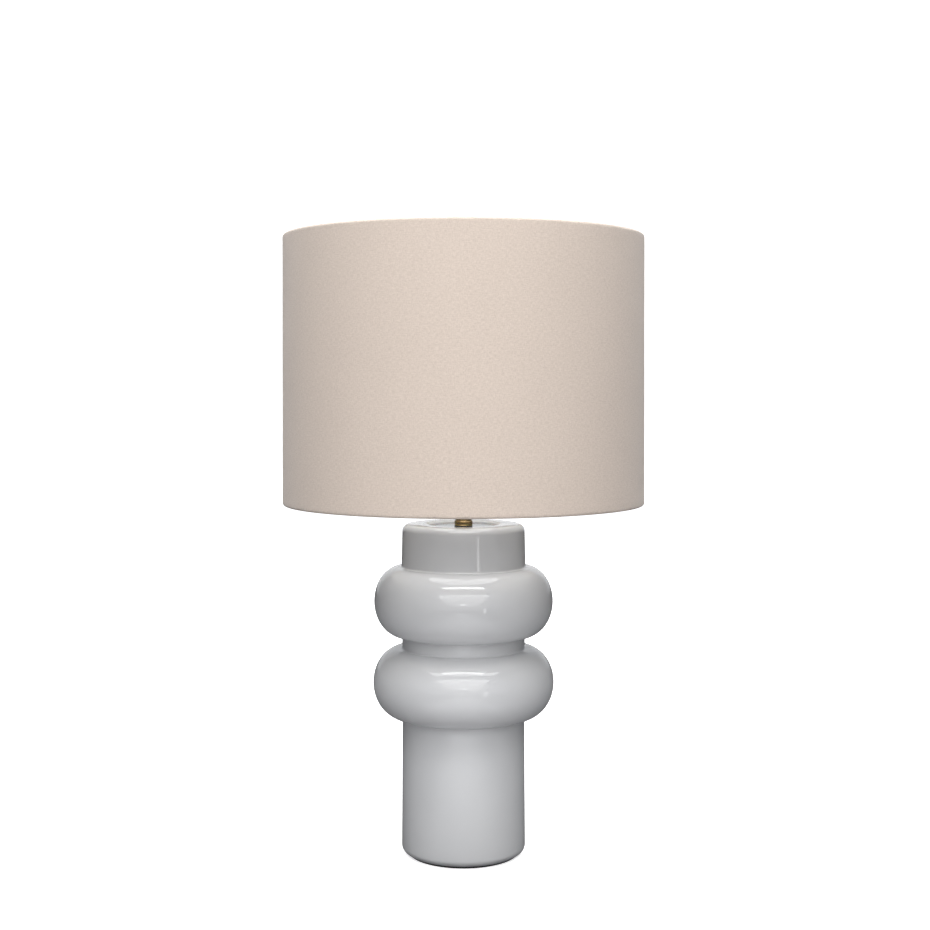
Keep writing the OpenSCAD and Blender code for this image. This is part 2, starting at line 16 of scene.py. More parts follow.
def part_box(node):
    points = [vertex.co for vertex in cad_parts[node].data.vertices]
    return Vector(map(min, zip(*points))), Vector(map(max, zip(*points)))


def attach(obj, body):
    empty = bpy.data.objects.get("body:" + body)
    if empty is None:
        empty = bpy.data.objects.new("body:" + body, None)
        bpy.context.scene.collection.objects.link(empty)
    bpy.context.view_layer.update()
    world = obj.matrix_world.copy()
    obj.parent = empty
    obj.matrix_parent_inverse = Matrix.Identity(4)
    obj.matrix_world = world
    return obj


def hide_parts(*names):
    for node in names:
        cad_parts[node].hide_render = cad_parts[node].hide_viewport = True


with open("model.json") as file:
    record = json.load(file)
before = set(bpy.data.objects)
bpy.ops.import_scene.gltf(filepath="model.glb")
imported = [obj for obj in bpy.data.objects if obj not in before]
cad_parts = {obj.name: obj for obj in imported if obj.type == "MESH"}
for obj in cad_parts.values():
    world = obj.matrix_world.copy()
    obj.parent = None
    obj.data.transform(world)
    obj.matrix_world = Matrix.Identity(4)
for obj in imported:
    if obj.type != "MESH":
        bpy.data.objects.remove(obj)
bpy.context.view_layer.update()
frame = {"nodes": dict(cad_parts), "record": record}
MM = 0.001
TURN = 2 * math.pi

# ---- Sizes of the lamp, as the frame's design has them ----

FELT_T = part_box("felt_pad")[1].z
BODY_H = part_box("ceramic_body")[1].z
WALL = 6 * MM
PLINTH_FOOT_R, PLINTH_TOP_R = 66.3 * MM, 65.3 * MM
WAIST_R = 65.6 * MM
NECK_FOOT_R, NECK_TOP_R = 66.1 * MM, 65.3 * MM
LOWER_BULGE_R, LOWER_BULGE_Z = 96.6 * MM, 185.4 * MM
UPPER_BULGE_R, UPPER_BULGE_Z = 95.4 * MM, 272.4 * MM
BULGE_HALF_H = 36.6 * MM
GLAZE_FILLET = 2.2 * MM
EDGE_ROUND = 7.5 * MM
DISH_R, DISH_DEPTH = 38 * MM, 2.5 * MM
RECESS_R, LEDGE_R, LEDGE_Z = 55.5 * MM, 48 * MM, 30 * MM
CORD_HOLE_R, CORD_HOLE_Z = 5.4 * MM, 17.5 * MM
STEADY_R = 58 * MM

SHADE_BOTTOM_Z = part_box("shade_cover")[0].z
SHADE_TOP_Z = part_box("shade_cover")[1].z
SHADE_BOTTOM_R, SHADE_TOP_R = 191.4 * MM, 189.9 * MM
LINEN_T, LINER_T, RING_WIRE_R = 0.6 * MM, 0.4 * MM, 1.6 * MM
RING_INSET = RING_WIRE_R + LINER_T + LINEN_T
FOLD_IN = 9 * MM
SEAM_LAP, LAP_RISE = 12 * MM, 0.5 * MM
SHADE_COLUMNS = 440
SEAM_AT = math.radians(97)
ARM_ANGLES = [math.radians(a) for a in (90, 210, 330)]


# ---- Shapes ----

def arc(cx, cz, radius, start, end, steps, radius_z=None):
    """Points on an arc, or on an ellipse where radius_z is given; angles in degrees."""
    angles = [math.radians(start + (end - start) * i / steps) for i in range(steps + 1)]
    radius_z = radius if radius_z is None else radius_z
    return [(cx + radius * math.cos(a), cz + radius_z * math.sin(a)) for a in angles]


def straight(a, b, steps):
    """Points from a to b, without a itself."""
    return [(a[0] + (b[0] - a[0]) * i / steps, a[1] + (b[1] - a[1]) * i / steps)
            for i in range(1, steps + 1)]


def finish_mesh(mesh, sharp_deg):
    """Joins doubled points, turns the faces outwards and shades them smooth up to an angle."""
    work = bmesh.new()
    work.from_mesh(mesh)
    bmesh.ops.remove_doubles(work, verts=work.verts, dist=1e-7)
    bmesh.ops.dissolve_degenerate(work, edges=work.edges, dist=1e-8)
    bmesh.ops.recalc_face_normals(work, faces=work.faces)
    work.to_mesh(mesh)
    work.free()
    mesh.shade_smooth()
    mesh.set_sharp_from_angle(angle=math.radians(sharp_deg))


def grid_solid(name, columns, lengths=None, widths=None, sharp_deg=38, closed_round=True):
    """A closed skin from columns of points, columns[c][p]. Each column is a closed loop. With
    lengths[c][p] and widths[c], in metres, it gets a UV map in metres."""
    columns = np.asarray(columns, float)
    n_columns, n_points = columns.shape[:2]
    mesh = bpy.data.meshes.new(name)
    faces, uvs = [], []
    for c in range(n_columns if closed_round else n_columns - 1):
        d = (c + 1) % n_columns
        for p in range(n_points):
            q = (p + 1) % n_points
            faces.append((c * n_points + p, d * n_points + p, d * n_points + q, c * n_points + q))
            if lengths is not None:
                u0, u1 = widths[c], widths[c + 1]
                uvs += [(u0, lengths[c][p]), (u1, lengths[d][p]), (u1, lengths[d][q]),
                        (u0, lengths[c][q])]
    if not closed_round:
        faces.append(tuple(range(n_points)))
        faces.append(tuple((n_columns - 1) * n_points + p for p in reversed(range(n_points))))
    mesh.from_pydata(columns.reshape(-1, 3).tolist(), [], faces)
    if lengths is not None:
        layer = mesh.uv_layers.new(name="cloth")
        layer.data.foreach_set("uv", np.asarray(uvs, np.float32).ravel())
    finish_mesh(mesh, sharp_deg)
    piece = bpy.data.objects.new(name, mesh)
    bpy.context.scene.collection.objects.link(piece)
    return piece


def lathe(name, profile, segments=128, shape=None, sharp_deg=38):
    """A solid turned about Z. profile is a closed loop of (r, z), which may start and end on
    the axis. shape(r, z, angle) may give a point another radius."""
    columns = []
    for c in range(segments):
        angle = TURN * c / segments
        column = []
        for r, z in profile:
            r_here = shape(r, z, angle) if shape and r > 0 else r
            column.append((r_here * math.cos(angle), r_here * math.sin(angle), z))
        columns.append(column)
    return grid_solid(name, columns, sharp_deg=sharp_deg)


def place(piece, origin, direction=(0, 0, 1)):
    """Turns a piece's Z axis to a direction and moves it, in its mesh."""
    turn = Vector((0, 0, 1)).rotation_difference(Vector(direction)).to_matrix().to_4x4()
    piece.data.transform(Matrix.Translation(origin) @ turn)
    return piece


def sweep(name, path, radius, sides=20):
    """A round wire along a path of points, with flat ends."""
    path = [Vector(p) for p in path]
    tangents = [(path[min(i + 1, len(path) - 1)] - path[max(i - 1, 0)]).normalized()
                for i in range(len(path))]
    across = tangents[0].orthogonal().normalized()
    columns = []
    for point, tangent in zip(path, tangents):
        across = (across - tangent * across.dot(tangent)).normalized()
        other = tangent.cross(across)
        columns.append([tuple(point + radius * (across * math.cos(TURN * s / sides)
                                                + other * math.sin(TURN * s / sides)))
                        for s in range(sides)])
    return grid_solid(name, columns, closed_round=False)


def wander(x, y, z, size):
    """Smooth noise from -1 to 1 that changes over the given size."""
    return noise.noise(Vector((x, y, z)) / size)


# ---- Materials ----

class Look:
    """A Principled material and the nodes that feed it. Keyword arguments are constants that
    are set on the shader's own sockets."""

    def __init__(self, name, **constants):
        self.material = bpy.data.materials.new(name)
        self.material.use_nodes = True
        self.tree = self.material.node_tree
        self.shader = self.tree.nodes["Principled BSDF"]
        for socket, value in constants.items():
            label = socket.replace("_", " ").title().replace("Ior", "IOR")
            self.shader.inputs[label].default_value = value
        self.heights = []
        self.where = self.add("ShaderNodeTexCoord").outputs["Object"]

    def add(self, kind, inputs=(), **settings):
        """A node with its settings, whose inputs are values or other nodes' sockets."""
        made = self.tree.nodes.new(kind)
        for key, value in settings.items():
            setattr(made, key, value)
        for key, value in dict(inputs).items():
            if isinstance(value, bpy.types.NodeSocket):
                self.tree.links.new(value, made.inputs[key])
            else:
                made.inputs[key].default_value = value
        return made

    def math(self, operation, a, b=0.0):
        return self.add("ShaderNodeMath", {0: a, 1: b}, operation=operation).outputs[0]

    def stretch(self, scale, source=None):
        """Coordinates multiplied by (x, y, z)."""
        return self.add("ShaderNodeVectorMath", {0: source or self.where, 1: scale},
                        operation="MULTIPLY").outputs[0]

    def noise(self, scale, detail=3.0, rough=0.5, distortion=0.0, source=None):
        """Noise whose scale is in features per metre, from 0 to 1."""
        return self.add("ShaderNodeTexNoise", {
            "Vector": source or self.where, "Scale": scale, "Detail": detail,
            "Roughness": rough, "Distortion": distortion}).outputs["Fac"]

    def cells(self, scale):
        """Distance to the nearest of the points that are scattered at a scale per metre."""
        return self.add("ShaderNodeTexVoronoi", {
            "Vector": self.where, "Scale": scale}).outputs["Distance"]

    def remap(self, value, low, high, to_low=0.0, to_high=1.0, smooth=False):
        return self.add("ShaderNodeMapRange", {
            "Value": value, "From Min": low, "From Max": high, "To Min": to_low,
            "To Max": to_high}, interpolation_type="SMOOTHSTEP" if smooth else "LINEAR").outputs[0]

    def blend(self, factor, a, b):
        """Colour a where the factor is 0, and colour b where it is 1."""
        made = self.add("ShaderNodeMix", data_type="RGBA")
        for key, value in ((0, factor), (6, a), (7, b)):
            if isinstance(value, bpy.types.NodeSocket):
                self.tree.links.new(value, made.inputs[key])
            else:
                made.inputs[key].default_value = value if key == 0 else (*value, 1)
        return made.outputs[2]

    def color(self, socket):
        self.tree.links.new(socket, self.shader.inputs["Base Color"])

    def rough(self, socket):
        self.tree.links.new(socket, self.shader.inputs["Roughness"])

    def bump(self, height, distance, strength=1.0):
        """Adds a bump whose full height is distance, in metres."""
        inputs = {"Height": height, "Distance": distance, "Strength": strength}
        if self.heights:
            inputs["Normal"] = self.heights[-1]
        self.heights.append(self.add("ShaderNodeBump", inputs).outputs[0])
        self.tree.links.new(self.heights[-1], self.shader.inputs["Normal"])


def tint(color, factor):
    return tuple(min(1.0, c * factor) for c in color)


GLAZE_COLORS = ((0.585, 0.590, 0.600), (0.610, 0.613, 0.620))
# The first is grey painted into the dish on top as shade; the second is the specks from the clay
DISH_PAINTED_SHADE, GLAZE_SPECK = (0.22, 0.222, 0.228), (0.42, 0.40, 0.37)
CLAY_COLORS = ((0.60, 0.55, 0.48), (0.72, 0.68, 0.61))


def glazed_ceramic():
    """Cool white gloss glaze over a pale biscuit body that is bare at the foot."""
    look = Look("glazed_ceramic", coat_weight=0.12, coat_roughness=0.02, ior=1.52)
    split = look.add("ShaderNodeSeparateXYZ", {0: look.where})
    height = split.outputs["Z"]
    cloud = look.noise(9, 2)
    glaze = look.blend(look.remap(cloud, 0.3, 0.7), *GLAZE_COLORS)
    # A few specks from the clay
    specks = look.remap(look.cells(260), 0.035, 0.05, 1.0, 0.0)
    rare = look.remap(look.noise(60, 2), 0.64, 0.66)
    glaze = look.blend(look.math("MULTIPLY", look.math("MULTIPLY", specks, rare), 0.35),
                       glaze, GLAZE_SPECK)
    # Painted shade: the dish on top is painted grey inside its rim
    rim_r, darkest_r = DISH_R + 1 * MM, DISH_R - 5 * MM
    flat_r = look.math("SQRT", look.math("ADD", look.math("POWER", split.outputs["X"], 2),
                                         look.math("POWER", split.outputs["Y"], 2)))
    dish_shade = look.math("MULTIPLY", look.remap(flat_r, rim_r, darkest_r, smooth=True),
                       look.remap(height, BODY_H - 6 * MM, BODY_H - 5 * MM))
    glaze = look.blend(dish_shade, glaze, DISH_PAINTED_SHADE)
    # Its lower edge is ragged, a millimetre above the felt
    ragged = look.math("ADD", height, look.math("MULTIPLY", look.noise(150, 2), 0.9 * MM))
    bare = look.remap(ragged, FELT_T + 0.9 * MM, FELT_T + 1.4 * MM, 1.0, 0.0)
    clay = look.blend(look.noise(900, 4), *CLAY_COLORS)
    look.color(look.blend(bare, glaze, clay))
    gloss = look.remap(look.noise(25, 3), 0.3, 0.7, 0.015, 0.032)
    look.rough(look.math("MAXIMUM", gloss, look.math("MULTIPLY", bare, 0.8)))
    look.bump(look.noise(42, 1), 0.16 * MM)
    look.bump(look.noise(330, 2), 0.012 * MM)
    pinholes = look.remap(look.cells(420), 0.02, 0.06, 0.0, 1.0)
    look.bump(pinholes, 0.02 * MM, 0.25)
    return look.material


# The linen's middle, light and dark threads, and its flecks of husk
LINEN_COLORS = ((0.612, 0.521, 0.454), (0.658, 0.569, 0.500), (0.546, 0.457, 0.390))
HUSK = (0.30, 0.24, 0.19)
WARP_PITCH, WEFT_PITCH = 0.62 * MM, 0.70 * MM


def linen():
    """Plain-woven natural linen: threads of uneven thickness, slubs along the weft, and a few
    dark flecks of husk. Its UV map is in metres, along the weft and along the warp."""
    look = Look("linen", roughness=0.92, diffuse_roughness=0.0, sheen_weight=0.25,
                sheen_roughness=0.5, specular_ior_level=0.2)
    cloth = look.add("ShaderNodeUVMap", uv_map="cloth").outputs[0]
    # The threads wander by up to a millimetre
    sway = look.add("ShaderNodeTexNoise", {"Vector": cloth, "Scale": 55, "Detail": 2})
    sway = look.stretch((1.1 * MM, 1.1 * MM, 0), sway.outputs["Color"])
    threads = look.add("ShaderNodeVectorMath", {0: cloth, 1: sway}, operation="ADD").outputs[0]
    split = look.add("ShaderNodeSeparateXYZ", {0: threads})
    warp = look.math("SINE", look.math("MULTIPLY", split.outputs["X"], math.pi / WARP_PITCH))
    weft = look.math("SINE", look.math("MULTIPLY", split.outputs["Y"], math.pi / WEFT_PITCH))
    weave = look.math("MULTIPLY", warp, weft)
    hole = look.math("MULTIPLY", look.math("ABSOLUTE", warp), look.math("ABSOLUTE", weft))

    def grain(along_weft, along_warp, detail, rough=0.5, source=threads):
        """Noise with so many features per metre each way."""
        return look.noise(1, detail, rough, source=look.stretch((along_weft, along_warp, 1), source))

    weft_streak, warp_streak = grain(75, 1300, 2.5, 0.6), grain(1500, 60, 2.5, 0.6)
    slub = look.remap(grain(75, 620, 1.5), 0.70, 0.80, smooth=True)
    mottle = look.math("MULTIPLY", look.math("ADD", grain(260, 980, 3, 0.75),
                                             grain(1050, 300, 3, 0.75)), 0.5)
    fleck = look.remap(grain(420, 900, 1, source=cloth), 0.76, 0.81, smooth=True)
    cloud = look.noise(14, 3, source=cloth)
    base, light, dark = LINEN_COLORS
    color = look.blend(look.remap(weft_streak, 0.3, 0.7), dark, light)
    color = look.blend(0.5, color, look.blend(look.remap(warp_streak, 0.3, 0.7), dark, light))
    # Painted shade in the gaps between the threads
    color = look.blend(look.remap(hole, 0.0, 0.35, 0.28, 0.0), color, tint(dark, 0.72))
    color = look.blend(look.remap(cloud, 0.3, 0.7, 0.0, 0.45), color, base)
    color = look.blend(0.6, color, look.blend(look.remap(mottle, 0.40, 0.60), tint(dark, 0.93),
                                               tint(light, 1.06)))
    color = look.blend(look.math("MULTIPLY", slub, 0.4), color, light)
    color = look.blend(look.math("MULTIPLY", fleck, 0.55), color, HUSK)
    look.color(color)
    look.bump(weave, 0.16 * MM, 0.55)
    look.bump(weft_streak, 0.22 * MM, 0.5)
    look.bump(mottle, 0.08 * MM, 0.4)
    look.bump(slub, 0.10 * MM, 0.5)
    return look.material


def brushed_metal(name, dark, light, rough, grain=(1, 1, 1), tarnish=None):
    """A metal with fine lines across its grain, handling marks and, on old brass, tarnish."""
    look = Look(name, metallic=1.0)
    lines = look.noise(900, 2, source=look.stretch(grain))
    patches = look.noise(70, 4, 0.6)
    color = look.blend(look.remap(patches, 0.3, 0.7), dark, light)
    if tarnish:
        stain = look.remap(look.noise(160, 5, 0.65), 0.45, 0.7)
        color = look.blend(look.math("MULTIPLY", stain, 0.8), color, tarnish)
    look.color(color)
    marks = look.remap(look.noise(240, 4, 0.7), 0.35, 0.75, rough * 0.75, rough * 1.35)
    look.rough(marks)
    look.bump(lines, 0.01 * MM, 0.6)
    return look.material


def moulded(name, dark, light, rough, grain_size, coat=0.0):
    """A moulded part with a fine skin texture, faint cloudiness and scuffs."""
    look = Look(name, coat_weight=coat, coat_roughness=0.2)
    color = look.blend(look.remap(look.noise(45, 3), 0.3, 0.7), dark, light)
    scuffs = look.remap(look.noise(1, 4, 0.7, source=look.stretch((900, 300, 500))), 0.62, 0.75)
    look.color(look.blend(look.math("MULTIPLY", scuffs, 0.3), color, tint(light, 1.8)))
    look.rough(look.remap(look.noise(200, 3), 0.3, 0.7, rough * 0.85, min(1, rough * 1.15)))
    look.bump(look.noise(1 / grain_size, 2), 0.02 * MM, 0.6)
    return look.material


def felt():
    """Black felt, matt with a little sheen on its fibres."""
    look = Look("felt", roughness=0.97, sheen_weight=0.2, sheen_roughness=0.6)
    fibres = look.noise(1600, 4, 0.7, 0.8)
    look.color(look.blend(look.remap(fibres, 0.35, 0.7), (0.012, 0.012, 0.012),
                          (0.045, 0.044, 0.043)))
    look.bump(fibres, 0.4 * MM, 0.8)
    return look.material


def card():
    """Fish paper: brown vulcanised fibre with a soft mottle."""
    look = Look("insulating_card", roughness=0.75)
    fibres = look.noise(1, 4, 0.7, source=look.stretch((1400, 1400, 300)))
    look.color(look.blend(fibres, (0.13, 0.075, 0.042), (0.26, 0.165, 0.10)))
    look.bump(fibres, 0.06 * MM, 0.5)
    return look.material


def styrene():
    """The translucent white liner, with faint extrusion lines."""
    look = Look("styrene", roughness=0.42, subsurface_weight=0.15, subsurface_scale=2 * MM)
    lines = look.noise(1, 2, source=look.stretch((500, 500, 6)))
    look.color(look.blend(look.remap(lines, 0.3, 0.7), (0.815, 0.78, 0.73), (0.84, 0.81, 0.765)))
    look.bump(look.noise(120, 3), 0.05 * MM, 0.4)
    return look.material


def glass(name, color, transmission, rough, grain):
    """Glass whose powder or ripple has so many features per metre."""
    look = Look(name, transmission_weight=transmission, ior=1.5)
    powder = look.noise(grain, 3)
    look.color(look.blend(powder, tint(color, 0.96), color))
    look.rough(look.remap(look.noise(80, 3), 0.3, 0.7, rough * 0.85, rough * 1.15))
    look.bump(powder, 0.01 * MM, 0.4)
    return look.material


def make_looks():
    """All materials, by the record's slot."""
    return {
        "felt": felt(),
        "blackened_steel": brushed_metal("blackened_steel", (0.05, 0.05, 0.055),
                                         (0.10, 0.10, 0.105), 0.5, (1, 1, 1), (0.09, 0.06, 0.05)),
        "zinc_steel": brushed_metal("zinc_steel", (0.52, 0.54, 0.58), (0.66, 0.67, 0.66), 0.34,
                                    (0.2, 0.2, 1)),
        "glazed_ceramic": glazed_ceramic(),
        "black_rubber": moulded("black_rubber", (0.014, 0.014, 0.015), (0.025, 0.025, 0.026),
                                0.6, 0.25 * MM),
        "antique_brass": brushed_metal("antique_brass", (0.25, 0.17, 0.075), (0.42, 0.30, 0.15),
                                       0.22, (0.15, 0.15, 1), (0.12, 0.070, 0.035)),
        "socket_brass": brushed_metal("socket_brass", (0.66, 0.49, 0.21), (0.78, 0.60, 0.29),
                                      0.24, (0.1, 0.1, 1), (0.48, 0.33, 0.13)),
        "insulating_card": card(),
        "phenolic": moulded("phenolic", (0.016, 0.011, 0.009), (0.030, 0.021, 0.017), 0.3,
                            0.8 * MM, 0.3),
        "nickel": brushed_metal("nickel", (0.60, 0.58, 0.54), (0.72, 0.70, 0.66), 0.22),
        "frosted_glass": glass("frosted_glass", (0.93, 0.93, 0.92), 0.35, 0.45, 1500),
        "clear_glass": glass("clear_glass", (0.97, 0.98, 0.98), 0.95, 0.05, 300),
        "filament_wire": brushed_metal("filament_wire", (0.30, 0.30, 0.31), (0.42, 0.42, 0.42),
                                       0.35),
        "bulb_aluminium": brushed_metal("bulb_aluminium", (0.74, 0.75, 0.76), (0.84, 0.84, 0.84),
                                        0.28, (0.1, 0.1, 1)),
        "black_glass": moulded("black_glass", (0.010, 0.010, 0.012), (0.022, 0.022, 0.026), 0.12,
                               1.2 * MM, 0.5),
        "solder": brushed_metal("solder", (0.50, 0.50, 0.50), (0.66, 0.66, 0.66), 0.38,
                                (1, 1, 1), (0.36, 0.36, 0.37)),
        "plated_wire": brushed_metal("plated_wire", (0.62, 0.62, 0.63), (0.74, 0.74, 0.74), 0.27,
                                     (1, 1, 0.3)),
        "styrene": styrene(),
        "linen": linen(),
    }


LOOKS = make_looks()


def dress(piece, slot, body, *nodes):
    """Gives a new piece its look, its body and the CAD nodes that it stands for."""
    piece.data.materials.append(LOOKS[slot])
    if nodes:
        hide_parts(*nodes)
    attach(piece, body)
    return piece


# ---- Camera, light and floor ----

SENSOR_MM, LENS_MM = 36, 57.25
CAMERA_AT, CAMERA_TILT = (0.0016, -1.573, 0.4998), 3
LAMP_MID_Z = 0.28
PANEL_LEVELS = (1.55, 3.9)
# The room as the glaze mirrors it, from in front of the lamp to behind it
ROOM_FRONT, ROOM_BACK = (0.85, 0.85, 0.86, 1), (0.80, 0.81, 0.83, 1)
ROOM_LEVELS = ((0.18, 0.55), (0.33, 0.14), (0.5, 0.06), (0.88, 0.05), (0.96, 0.60))
FLOOR_COLORS = ((0.86, 0.86, 0.865), (0.88, 0.88, 0.885))
# Painted light: the colours of the floor's bounced light, a pool in front of the lamp and dark round
# it
FLOOR_PAINTED_POOL, FLOOR_PAINTED_DARK = (0.75, 0.75, 0.76), (0.11, 0.11, 0.115)


def camera():
    """Level with the lower part of the shade, looking a little down."""
    data = bpy.data.cameras.new("camera")
    data.sensor_width, data.lens = SENSOR_MM, LENS_MM
    seen = bpy.data.objects.new("camera", data)
    seen.location = CAMERA_AT
    seen.rotation_euler = (math.radians(90 - CAMERA_TILT), 0, 0)
    bpy.context.scene.collection.objects.link(seen)
    bpy.context.scene.camera = seen


def softbox(name, azimuth, elevation, distance, width, height, radiance, aim_z=0.35):
    """A soft rectangular light, aimed at the lamp's axis. Azimuth 0 is in front of it."""
    data = bpy.data.lights.new(name, "AREA")
    data.shape, data.size, data.size_y = "RECTANGLE", width, height
    data.energy = radiance * math.pi * width * height
    light = bpy.data.objects.new(name, data)
    a, e = math.radians(azimuth), math.radians(elevation)
    back = Vector((math.sin(a) * math.cos(e), -math.cos(a) * math.cos(e), math.sin(e)))
    light.location = Vector((0, 0, aim_z)) + back * distance
    light.rotation_euler = back.to_track_quat("Z", "Y").to_euler()
    light.visible_camera = False
    bpy.context.scene.collection.objects.link(light)
    return light


def glowing_panel():
    """A tall diffuser in front of the lamp, brighter and wider towards its top."""
    mesh = bpy.data.meshes.new("diffuser")
    distance, low, high = 2.3, math.radians(8), math.radians(39)
    half_top, half_bottom = 1.35, 0.75
    corners = []
    for elevation, half in ((low, half_bottom), (high, half_top)):
        y, z = -distance * math.cos(elevation), LAMP_MID_Z + distance * math.sin(elevation)
        corners += [(-half, y, z), (half, y, z)]
    mesh.from_pydata(corners, [], [(0, 1, 3, 2)])
    panel = bpy.data.objects.new("diffuser", mesh)
    bpy.context.scene.collection.objects.link(panel)
    look = Look("diffuser")
    split = look.add("ShaderNodeSeparateXYZ", {0: look.where})
    level = look.remap(split.outputs["Z"], corners[0][2], corners[2][2], *PANEL_LEVELS)
    glow = look.add("ShaderNodeEmission", {"Color": (1, 1, 1, 1), "Strength": level})
    look.tree.links.new(glow.outputs[0], look.tree.nodes["Material Output"].inputs[0])
    mesh.materials.append(look.material)
    panel.visible_camera = False


def pass_the_shade(light, *blockers):
    """Lets one light pass the shade's pieces, so that its highlight lies where the glaze would
    show it with the shade taken off."""
    passed = bpy.data.collections.new(light.name + "_passes")
    for blocker in blockers:
        passed.objects.link(blocker)
    light.light_linking.blocker_collection = passed
    for entry in passed.collection_objects:
        entry.light_linking.link_state = "EXCLUDE"


def world_light():
    """A dim room, with the white wall behind the lamp, and pure white to the camera."""
    world = bpy.data.worlds.new("studio")
    bpy.context.scene.world = world
    world.use_nodes = True
    tree = world.node_tree
    new, link = tree.nodes.new, tree.links.new
    sky = tree.nodes["Background"]
    split = new("ShaderNodeSeparateXYZ")
    link(new("ShaderNodeTexCoord").outputs["Generated"], split.inputs[0])
    ramp = new("ShaderNodeValToRGB")
    to_unit = new("ShaderNodeMapRange")
    to_unit.inputs["From Min"].default_value = -1
    link(split.outputs["Y"], to_unit.inputs["Value"])
    link(to_unit.outputs[0], ramp.inputs[0])
    ramp.color_ramp.elements[0].color = ROOM_FRONT
    ramp.color_ramp.elements[1].color = ROOM_BACK
    for at, level in ROOM_LEVELS:
        ramp.color_ramp.elements.new(at).color = (level, level * 1.03, level * 1.08, 1)
    link(ramp.outputs[0], sky.inputs["Color"])
    backdrop = new("ShaderNodeBackground")
    backdrop.inputs["Strength"].default_value = 1.3
    backdrop.inputs["Color"].default_value = (1, 1, 1, 1)
    choose = new("ShaderNodeMixShader")
    link(new("ShaderNodeLightPath").outputs["Is Camera Ray"], choose.inputs[0])
    link(sky.outputs[0], choose.inputs[1])
    link(backdrop.outputs[0], choose.inputs[2])
    link(choose.outputs[0], tree.nodes["World Output"].inputs[0])


def studio():
    """Soft light from the front and from above. The two strips only show as thin highlights on
    the glaze, and the high softbox lights but doesn't show in it."""
    glowing_panel()
    softbox("overhead_softbox", azimuth=0, elevation=90, distance=1.9, width=3.0, height=3.0,
            radiance=3.4)
    softbox("spot_softbox", azimuth=0, elevation=10.5, distance=2.2, width=0.34, height=0.10,
            radiance=5.0)
    reflector = softbox("reflector_strip", azimuth=26, elevation=-7, distance=1.1, width=0.07,
                        height=0.24, radiance=3.0, aim_z=0.33)
    boom = softbox("boom_strip", azimuth=0, elevation=60, distance=1.6, width=1.25, height=0.22,
                   radiance=7.5, aim_z=0.29)
    reflector.visible_diffuse = boom.visible_diffuse = False
    high = softbox("high_softbox", azimuth=0, elevation=58, distance=1.9, width=1.9, height=0.5,
                   radiance=2.6, aim_z=0.2)
    high.visible_glossy = False
    world_light()
    bpy.context.scene.view_settings.view_transform = "Standard"


def floor():
    """The pale table top: it fades into the white behind it, and throws little light back."""
    mesh = bpy.data.meshes.new("floor")
    half = 8.0
    mesh.from_pydata([(-half, -half, 0), (half, -half, 0), (half, half, 0), (-half, half, 0)],
                     [], [(0, 1, 2, 3)])
    top = bpy.data.objects.new("floor", mesh)
    bpy.context.scene.collection.objects.link(top)
    look = Look("pale_table", roughness=0.8, specular_ior_level=0.1,
                emission_color=(1, 1, 1, 1))
    look.color(look.blend(look.noise(60, 2), *FLOOR_COLORS))
    split = look.add("ShaderNodeSeparateXYZ", {0: look.where})
    # Its glow hides the edge between the table and the white wall
    away = look.add("ShaderNodeVectorMath", {0: look.where}, operation="LENGTH").outputs["Value"]
    glow = look.remap(away, 0.35, 1.3, 0.72, 1.15, smooth=True)
    look.tree.links.new(glow, look.shader.inputs["Emission Strength"])
    # Painted light in what it throws back: a pool of light painted in front of the lamp, and dark
    # round it
    ahead = look.remap(split.outputs["Y"], -0.05, -0.45, smooth=True)
    beside = look.remap(look.math("ABSOLUTE", split.outputs["X"]), 0.45, 0.12, smooth=True)
    painted_pool = look.blend(look.math("MULTIPLY", ahead, beside), FLOOR_PAINTED_DARK, FLOOR_PAINTED_POOL)
    dull = look.add("ShaderNodeBsdfDiffuse", {"Color": painted_pool})
    seen = look.add("ShaderNodeLightPath").outputs["Is Camera Ray"]
    choose = look.add("ShaderNodeMixShader", {0: seen, 1: dull.outputs[0],
                                              2: look.shader.outputs[0]})
    look.tree.links.new(choose.outputs[0], look.tree.nodes["Material Output"].inputs[0])
    mesh.materials.append(look.material)


# ---- Ceramic body ----

def bulge(z, r_max, half_h, r_below, r_above, fillet, steps):
    """Section of a bulge from the straight part below it to the one above, which it meets in
    concave fillets."""
    below = (r_max - r_below - fillet, r_below + fillet)
    above = (r_max - r_above - fillet, r_above + fillet)
    return (arc(r_below + fillet, z - half_h - fillet, fillet, 180, 90, 8)
            + arc(below[1], z, below[0], -90, 0, steps, half_h)[1:]
            + arc(above[1], z, above[0], 0, 90, steps, half_h)[1:]
            + arc(r_above + fillet, z + half_h + fillet, fillet, 270, 180, 8)[1:])


